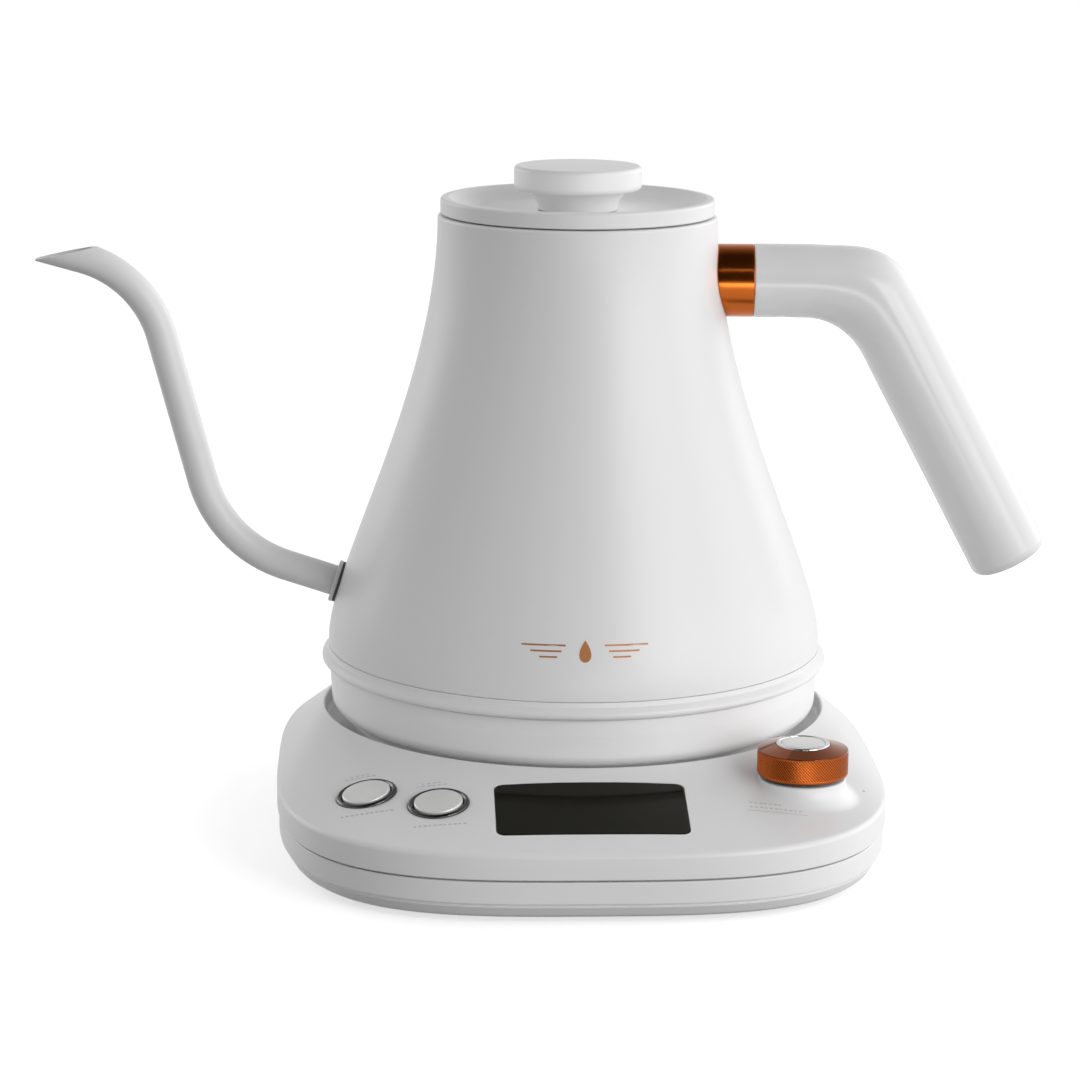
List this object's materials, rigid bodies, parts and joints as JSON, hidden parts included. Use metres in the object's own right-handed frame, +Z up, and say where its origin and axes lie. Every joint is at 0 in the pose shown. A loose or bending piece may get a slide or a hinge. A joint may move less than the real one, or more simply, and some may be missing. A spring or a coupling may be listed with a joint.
{
  "type": "gooseneck kettle",
  "caption": "Electric gooseneck kettle: tapered steel body with a slim curved spout, angled handle and lift-off lid, standing on a powered base with a display, buttons and a dial.",
  "frame": {"origin": "on the surface that the base stands on, under the kettle's vertical axis, at the centre foot pad's underside", "axes": "+Z up; the front of the base, with the display and the controls, faces -Y; the handle points to about +X and the spout to about -X"},
  "size_m": [0.2998, 0.2019, 0.1937],
  "materials": {
    "white_shell": "fine satin moulded ABS",
    "white_paint": "satin powder coat on stainless steel",
    "white_grip": "satin coated plastic",
    "copper": "polished copper plating",
    "silver_cap": "silver-white satin paint",
    "dark_chrome": "dark chrome plating",
    "bright_chrome": "bright chrome plating",
    "display_black": "glossy tinted window",
    "black_nylon": "glass-filled nylon",
    "black_parts": "moulded component cases",
    "contact_brass": "plain brass",
    "zinc_steel": "zinc-plated steel",
    "stainless": "brushed stainless steel",
    "circuit_board": "solder mask",
    "rubber_grey": "soft rubber",
    "silicone": "translucent white silicone",
    "lead_sleeve": "braided glass-fibre sleeving"
  },
  "bodies": {
    "base": {"base_top_shell": "white_shell", "base_bottom_shell": "white_shell", "foot_pads": "rubber_grey", "base_screws": "zinc_steel", "base_connector": "black_nylon", "connector_contacts": "contact_brass", "power_board": "circuit_board", "power_components": "black_parts", "control_board": "circuit_board", "ribbon_cable": "lead_sleeve", "cord_inlet": "rubber_grey", "inner_leads": "lead_sleeve", "display_glass": "display_black", "display_module": "black_parts", "bezel_left": "dark_chrome", "bezel_right": "dark_chrome", "tact_switches": "black_parts", "buzzer": "black_parts", "dial_encoder": "zinc_steel"},
    "swivel_ring": {"glide_ring": "silicone"},
    "kettle": {"body_shell": "white_paint", "trim_ring": "white_shell", "bottom_cover": "white_shell", "heating_plate": "stainless", "heating_element": "zinc_steel", "thermal_cutout": "black_parts", "temperature_probe": "stainless", "probe_gasket": "silicone", "kettle_coupler": "black_nylon", "coupler_contacts": "contact_brass", "element_leads": "lead_sleeve", "coupler_screws": "zinc_steel", "bottom_screws": "zinc_steel", "spout_tube": "white_paint", "spout_flange": "white_paint", "spout_seal": "rubber_grey", "handle_collar": "copper", "handle_tang": "stainless", "handle_grip": "white_grip", "handle_screw": "zinc_steel"},
    "lid": {"lid_cap": "white_paint", "lid_knob": "white_shell", "lid_liner": "stainless", "lid_seal": "silicone", "lid_screw": "stainless"},
    "button_left": {"button_cap_left": "silver_cap"},
    "button_right": {"button_cap_right": "silver_cap"},
    "dial_rotor": {"encoder_rotor": "contact_brass"},
    "dial": {"encoder_shaft": "zinc_steel", "dial_knob": "copper", "dial_ring": "bright_chrome", "dial_cap": "silver_cap"}
  },
  "joints": [
    {"name": "kettle_swivel", "type": "hinge", "parent": "base", "child": "swivel_ring", "pos_m": [0, 0, 0.0395], "axis": [0, 0, 1], "continuous": true},
    {"name": "kettle_lift", "type": "slide", "parent": "swivel_ring", "child": "kettle", "axis": [0, 0, 1], "range_m": [0, 0.08]},
    {"name": "lid_lift", "type": "slide", "parent": "kettle", "child": "lid", "axis": [0, 0, 1], "range_m": [0, 0.06]},
    {"name": "button_left_press", "type": "slide", "parent": "base", "child": "button_left", "axis": [0.1853, 0.1555, -0.9703], "range_m": [0, 0.0006], "stiffness_N_per_m": 500, "springref_m": -0.002},
    {"name": "button_right_press", "type": "slide", "parent": "base", "child": "button_right", "axis": [0.0879, 0.1884, -0.9781], "range_m": [0, 0.0006], "stiffness_N_per_m": 500, "springref_m": -0.002},
    {"name": "dial_turn", "type": "hinge", "parent": "base", "child": "dial_rotor", "pos_m": [0.0608, -0.0764, 0.03], "axis": [0, 0, 1], "continuous": true},
    {"name": "dial_press", "type": "slide", "parent": "dial_rotor", "child": "dial", "axis": [0, 0, -1], "range_m": [0, 0.0005], "stiffness_N_per_m": 1000, "springref_m": -0.002}
  ]
}
